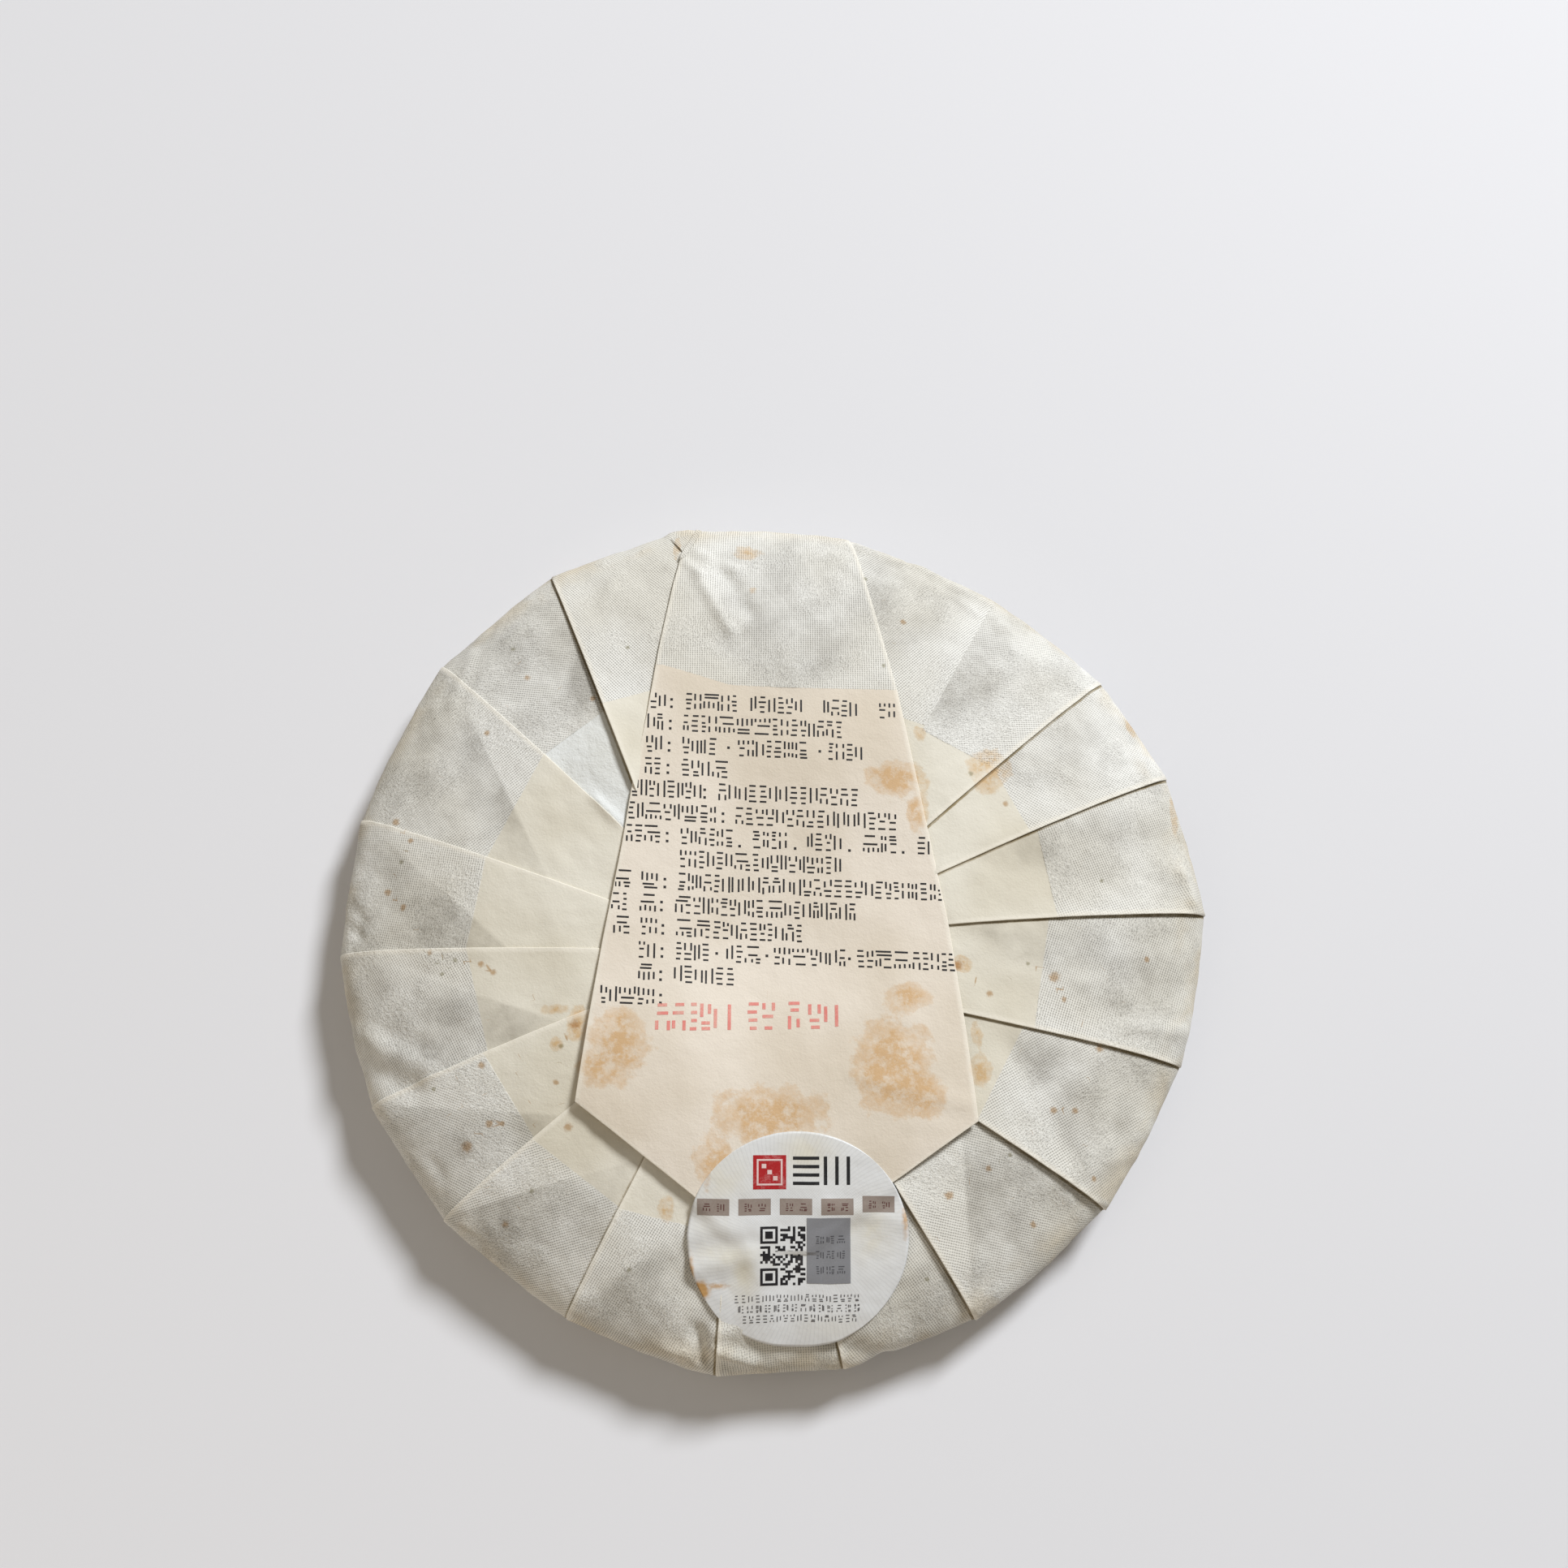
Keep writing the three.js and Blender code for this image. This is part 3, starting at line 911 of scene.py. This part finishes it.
# A field of small dark blocks, drawn by chance, with two ringed squares
def codeBlocks():
    left, low, right, high = labelPrint["code"]
    chance = random.Random(23)
    size = labelPrint["codeBlock"]
    across, down = round((right - left) / size), round((high - low) / size)
    corners = [(left, high - 7 * size, left + 7 * size, high), (left, low, left + 7 * size, low + 7 * size)]
    blocks = []
    for box in corners:
        inner = (box[0] + 2 * size, box[1] + 2 * size, box[2] - 2 * size, box[3] - 2 * size)
        blocks += [*ring(box, size), inner]
    for row in range(down):
        start = None
        for column in range(across + 1):
            inCorner = column < 8 and (row < 8 or row >= down - 8)
            dark = column < across and not inCorner and chance.random() < 0.5
            if dark and start is None:
                start = column
            if not dark and start is not None:
                bottom = high - (row + 1) * size
                blocks.append((left + start * size, bottom, left + column * size, high - row * size))
                start = None
    return blocks


# Shader maths: a socket that adds its Math nodes as it is used in an expression
class Value:
    def __init__(self, recipe, socket):
        self.recipe, self.socket = recipe, socket

    def math(self, operation, *others, swap=False):
        numbers = [self, *others]
        if swap:
            numbers.reverse()
        return self.recipe.node("ShaderNodeMath", {"operation": operation}, dict(enumerate(numbers)))

    def __add__(self, other):
        return self.math("ADD", other)

    def __sub__(self, other):
        return self.math("SUBTRACT", other)

    def __rsub__(self, other):
        return self.math("SUBTRACT", other, swap=True)

    def __mul__(self, other):
        return self.math("MULTIPLY", other)

    def __truediv__(self, other):
        return self.math("DIVIDE", other)

    __radd__, __rmul__ = __add__, __mul__


class Recipe:
    def __init__(self, name):
        self.material = bpy.data.materials.new(name)
        self.material.use_nodes = True
        self.tree = self.material.node_tree
        self.tree.nodes.clear()

    def node(self, kind, settings=None, sockets=None, output=0):
        made = self.tree.nodes.new(kind)
        for key, value in (settings or {}).items():
            setattr(made, key, value)
        for key, value in (sockets or {}).items():
            if isinstance(value, Value):
                self.tree.links.new(value.socket, made.inputs[key])
            else:
                made.inputs[key].default_value = value
        return Value(self, made.outputs[output]) if made.outputs else None

    def attribute(self, name, output="Fac"):
        return self.node("ShaderNodeAttribute", {"attribute_name": name}, output=output)

    def place(self):
        where = self.node("ShaderNodeTexCoord", output="Object")
        return self.node("ShaderNodeVectorMath", {"operation": "SCALE"}, {0: where, "Scale": 1 / mm})

    def noise(self, where, size, detail=2.0, roughness=0.5):
        return self.node("ShaderNodeTexNoise", {}, {"Vector": where, "Scale": 1 / size, "Detail": detail,
                                                    "Roughness": roughness})

    def vector(self, operation, first, second=(0, 0, 0), scale=1.0, output=0):
        return self.node("ShaderNodeVectorMath", {"operation": operation}, {0: first, 1: second, 3: scale},
                         output=output)

    def part(self, vector, index):
        return self.node("ShaderNodeSeparateXYZ", {}, {0: vector}, output=index)

    def ramp(self, value, low, high, first=0.0, last=1.0):
        bounds = {"From Min": low, "From Max": high, "To Min": first, "To Max": last}
        return self.node("ShaderNodeMapRange", {"interpolation_type": "SMOOTHSTEP"},
                         {"Value": value, **bounds})

    def mix(self, share, first, second, kind="MIX"):
        return self.node("ShaderNodeMix", {"data_type": "RGBA", "blend_type": kind},
                         {0: share, 6: first, 7: second}, output=2)

    def flatLength(self, vector):
        return self.vector("LENGTH", self.vector("MULTIPLY", vector, (1, 1, 0)), output="Value")

    def shade(self, base, roughness, specular=0.5, height=None, depth=0.1):
        values = {"Base Color": base, "Roughness": roughness, "Specular IOR Level": specular}
        if height is not None:
            values["Normal"] = self.node("ShaderNodeBump", {}, {"Height": height, "Distance": depth * mm})
        surface = self.node("ShaderNodeBsdfPrincipled", {}, values)
        self.node("ShaderNodeOutputMaterial", {}, {"Surface": surface})
        return self.material


def colour(red, green, blue):
    parts = [part / 255 for part in (red, green, blue)]
    return [part / 12.92 if part <= 0.04045 else ((part + 0.055) / 1.055) ** 2.4 for part in parts] + [1.0]


paper = {
    "cream": colour(228, 222, 206),
    "flapCream": colour(233, 222, 206),
    "printed": colour(239, 237, 229),
    "dot": colour(170, 167, 160),
    "teaTint": colour(206, 204, 201),
    "tissue": colour(229, 230, 226),
    "stain": colour(238, 210, 174),
    "speck": colour(200, 160, 108),
    "fleck": colour(172, 168, 142),
    # painted shadow in the gap under a fold's edge
    "foldShadow": colour(172, 158, 128),
    # painted highlight along fold edges and the flap's sides
    "edge": colour(243, 236, 220),
    "rimTint": colour(240, 222, 190),
    "dust": colour(238, 235, 228),
    "weavePitch": 0.56,
}


def paperFinish(name, cream):
    recipe = Recipe(name)
    ramp, mix = recipe.ramp, recipe.mix
    where = recipe.place()
    sheet = recipe.node("ShaderNodeUVMap", {"uv_map": "sheet"})
    fine = recipe.noise(where, 0.5, 3, 0.6)
    grain = recipe.noise(where, 1.0, 2, 0.6)
    cloud = recipe.noise(where, 9.0, 3, 0.6)

    # The woven print: rows of small dots on the flat sheet, broken up where the paper is rough
    rough = ramp(recipe.noise(where, 13.0, 2), 0.46, 0.62)
    wander = recipe.node("ShaderNodeTexNoise", {}, {"Vector": where, "Scale": 1.2, "Detail": 1.0},
                         output="Color")
    wander = recipe.vector("SUBTRACT", wander, (0.5, 0.5, 0.5))
    lattice = recipe.vector("ADD", sheet, recipe.vector("SCALE", wander, scale=rough * 1.3 + 0.2))
    turns = 2 * math.pi / paper["weavePitch"]
    across, along = [(recipe.part(lattice, axis) * turns).math("COSINE") for axis in (0, 1)]
    dots = across * 1.2 + along * 0.7
    printed = ramp(recipe.attribute("printed") + fine * 0.4, 0.1, 0.4)
    weave = ramp(dots + (grain - 0.5) * 1.2, -0.5, 1.7)
    weave = (weave * (1 - rough * 0.35) + rough * 0.13) * printed

    base = mix(printed, cream, paper["printed"])
    white = recipe.attribute("tissue") * (1 - printed)
    base = mix(white, base, paper["tissue"])
    base = mix(weave * ramp(cloud, 0.3, 0.7, 0.75, 1.0), base, paper["dot"])

    # The tea shows grey through a single layer
    thin = ramp(recipe.attribute("single") + (fine - 0.5) * 0.6, -0.5, 0.5) * (1 - white * 0.8)
    leaves = ramp(recipe.noise(where, 3.2, 3, 0.6), 0.3, 0.7, 0.65, 1.1)
    tea = recipe.attribute("tea") * leaves * 0.9 + ramp(cloud, 0.35, 0.7, 0.05, 0.4)
    base = mix((tea * thin).math("MINIMUM", 1.0), base, paper["teaTint"], "MULTIPLY")
    dusty = ramp(recipe.noise(where, 30.0, 2), 0.35, 0.7, 0.0, 0.8)
    base = mix(dusty, base, paper["dust"], "MULTIPLY")
    nearRim = ramp(recipe.flatLength(where), 94.0, 100.0)
    worn = nearRim * ramp(recipe.noise(where, 11.0, 3), 0.42, 0.62)
    base = mix(worn * 0.4, base, paper["rimTint"], "MULTIPLY")

    # Stains with a darker line round them, then specks
    spread = recipe.attribute("stain") + (recipe.noise(where, 5.0, 5, 0.65) - 0.5) * 1.5
    blotch = ramp(recipe.noise(where, 2.6, 5, 0.7), 0.34, 0.62, 0.3, 1.1)
    ring = ramp(spread, -0.12, 0.05) * ramp(spread, 0.3, 0.08)
    stained = ramp(spread, -0.15, 0.5) * blotch + ring * 0.25
    base = mix(stained.math("MINIMUM", 1.0), base, paper["stain"], "MULTIPLY")
    near = recipe.attribute("nearSpeck", "Vector")
    size = recipe.part(near, 2)
    ragged = (recipe.noise(where, 0.8, 2) - 0.5) * 1.1
    spot = ramp(recipe.flatLength(near) / size + ragged, 1.15, 0.3)
    tone = mix(ramp(size, 0.72, 0.78), paper["fleck"], paper["speck"])
    base = mix(spot * 0.7, base, tone, "MULTIPLY")
    # A painted highlight along fold edges and the flap's sides
    base = mix(ramp(recipe.attribute("edgeHighlight"), 1.3, 0.1, 0.0, 0.5), base, paper["edge"])

    # A painted shadow along the gap under each fold's edge, fainter where the edge faces the light
    foldShadow = ramp(recipe.attribute("foldShadow") + (grain - 0.5) * 0.3, 0.4, 0.05)
    base = mix(foldShadow * ramp(cloud, 0.3, 0.65, 0.55, 1.0), base, paper["foldShadow"], "MULTIPLY")

    crumple = recipe.noise(where, 4.0, 4, 0.65) * (white * 3.0 + 0.2)
    height = fine * 0.4 + grain * (rough * 1.3 * printed + 0.25)
    height = height + recipe.noise(where, 2.6, 3, 0.6) * 0.7 + cloud * 1.8 + crumple + weave * 0.2
    return recipe.shade(base, 0.78, 0.3, height, 0.12)


def labelFinish():
    recipe = Recipe("coatedLabelPaper")
    ramp, mix = recipe.ramp, recipe.mix
    where = recipe.place()
    sheet = recipe.node("ShaderNodeUVMap", {"uv_map": "sheet"})
    across, up = recipe.part(sheet, 0), recipe.part(sheet, 1)
    away = recipe.vector("LENGTH", sheet, output="Value")
    spokes = (up.math("ARCTAN2", across) * 150.0 + away * 1.7).math("SINE")
    rays = ramp(spokes, 0.3, 1.0) * ramp(away, 9.0, 15.0, 0.05, 0.18)
    base = mix(rays, colour(226, 226, 224), colour(185, 185, 185))
    turns = math.pi / 0.62
    net = [((across + up * side) * turns).math("SINE").math("ABSOLUTE") for side in (1, -1)]
    net = ramp(net[0].math("MINIMUM", net[1]), 0.35, 0.1)
    band = ramp((up - 7.0).math("ABSOLUTE"), 5.0, 3.0)
    band = band * ramp((across - 2.0).math("ABSOLUTE"), 17.0, 11.0)
    base = mix(net * band * 0.35, base, colour(170, 168, 166))
    yellow = recipe.attribute("tint") * ramp(recipe.noise(where, 4.0, 2), 0.3, 0.6, 0.6, 1.0)
    base = mix(yellow, base, colour(250, 242, 220), "MULTIPLY")
    ragged = (recipe.noise(where, 1.6, 4, 0.65) - 0.5) * 0.9
    stained = ramp(recipe.attribute("stain") + ragged, 0.1, 0.8)
    base = mix(stained, base, colour(226, 176, 112), "MULTIPLY")
    height = recipe.noise(where, 3.0, 3, 0.5) + recipe.noise(where, 0.6, 2) * 0.1
    return recipe.shade(base, 0.42, 0.5, height, 0.15)


def inkFinish(name, tone, worn, fill, roughness=0.6):
    recipe = Recipe(name)
    where = recipe.place()
    grain = recipe.noise(where, 0.45, 3, 0.7)
    cover = recipe.ramp(grain * 0.5 + recipe.noise(where, 3.5, 2) * 0.5, 0.3, 0.6, fill - 0.25, fill + 0.1)
    base = recipe.mix(cover, worn, tone)
    return recipe.shade(base, roughness, 0.5, grain, 0.02)


print("wrapper")
paperMaterial = paperFinish("cottonPaper", paper["cream"])
flapMaterial = paperFinish("flapPaper", paper["flapCream"])
wear(buildWrapper(), paperMaterial, replaces=["paper_wrapped_cake"])
print("flap and label")
wear(buildFlap(), flapMaterial)
for tuckName in tucks:
    wear(buildTuck(tuckName), flapMaterial)
wear(buildLabel(), labelFinish(), replaces=["round_label"])
print("print")
rows = printPiece("printedRows", rowBoxes(), onRow(printRows["slope"]))
wear(rows, inkFinish("blackInk", colour(24, 20, 20), colour(96, 88, 80), 1.0))
figures = printPiece("dateStamp", stampBoxes(), onRow(stamp["slope"]))
wear(figures, inkFinish("redStampInk", colour(224, 96, 92), colour(228, 215, 192), 0.7))

# Colour, worn colour, how much ink is left, roughness, and height above the label
labelInks = {
    "labelSeal": (colour(176, 26, 30), colour(225, 200, 195), 1.0, 0.45, 0.0),
    "sealLines": (colour(232, 205, 200), colour(214, 150, 146), 0.9, 0.45, 0.04),
    "labelWords": (colour(26, 26, 28), colour(90, 90, 90), 1.0, 0.45, 0.0),
    "labelStrips": (colour(148, 134, 124), colour(178, 168, 158), 0.95, 0.35, 0.0),
    "stripMarks": (colour(92, 48, 44), colour(140, 120, 112), 0.95, 0.45, 0.04),
    "labelPanel": (colour(136, 136, 139), colour(152, 152, 154), 0.95, 0.3, 0.03),
    "panelMarks": (colour(84, 84, 88), colour(120, 120, 122), 0.95, 0.4, 0.07),
    "labelRows": (colour(96, 94, 94), colour(180, 178, 175), 0.95, 0.45, 0.0),
    "labelCode": (colour(26, 24, 28), colour(110, 106, 104), 1.0, 0.45, 0.0),
}
for pieceName, boxes in labelBoxes().items():
    *finish, above = labelInks[pieceName]
    piece = printPiece(pieceName, boxes, lambda x, y: onLabel(x, y, ink["above"] + above))
    wear(piece, inkFinish(pieceName + "Ink", *finish))


# Floor, light and camera
studio = {
    "floor": colour(227, 226, 227),
    "floorHalf": 4000.0,
    "sky": (1.0, 0.95, 0.87, 1.0),
    "skyStrength": 0.2,
}
# Each lamp: where it stands, its width, power and tone. All of them face the middle.
lamps = {
    "key": ((1415, 1811, 1928), 780.0, 95.0, (0.965, 1.0, 1.055)),
    "fill": ((-700, -200, 900), 1200.0, 1.8, (1.0, 0.9, 0.76)),
    "bounce": ((-260, -700, 150), 500.0, 0.7, (1.0, 0.82, 0.62)),
}


def addFloor():
    shell = bmesh.new()
    bmesh.ops.create_grid(shell, x_segments=1, y_segments=1, size=studio["floorHalf"] * mm)
    floor = meshPiece("floor", shell)
    floor.data.materials.append(Recipe("paleFloor").shade(studio["floor"], 0.7))


def addLight(name, place, width, power, tone):
    light = bpy.data.lights.new(name, "AREA")
    light.shape = "DISK"
    light.size = width * mm
    light.energy, light.color = power, tone
    lamp = addObject(name, light)
    lamp.location = Vector(place) * mm
    lamp.rotation_euler = (-lamp.location).to_track_quat("-Z", "Y").to_euler()


def addSky():
    world = bpy.data.worlds.new("softSky")
    world.use_nodes = True
    sky = world.node_tree.nodes["Background"]
    sky.inputs["Color"].default_value = studio["sky"]
    sky.inputs["Strength"].default_value = studio["skyStrength"]
    bpy.context.scene.world = world


view = {
    "place": (4.3, -106.6, 501.6),
    "tilt": math.radians(16.0),
    "focal": 2625.0,         # in pixels of the square photograph
    "pictureWidth": 1932.0,
    "sensor": 36.0,
}


def addCamera():
    lens = bpy.data.cameras.new("camera")
    lens.sensor_width = view["sensor"]
    lens.lens = view["focal"] / view["pictureWidth"] * view["sensor"]
    camera = addObject("camera", lens)
    camera.location = Vector(view["place"]) * mm
    camera.rotation_euler = (view["tilt"], 0, 0)
    bpy.context.scene.camera = camera


print("floor, light and camera")
addFloor()
addSky()
for lampName, lamp in lamps.items():
    addLight(lampName, *lamp)
addCamera()
bpy.context.scene.view_settings.view_transform = "Standard"
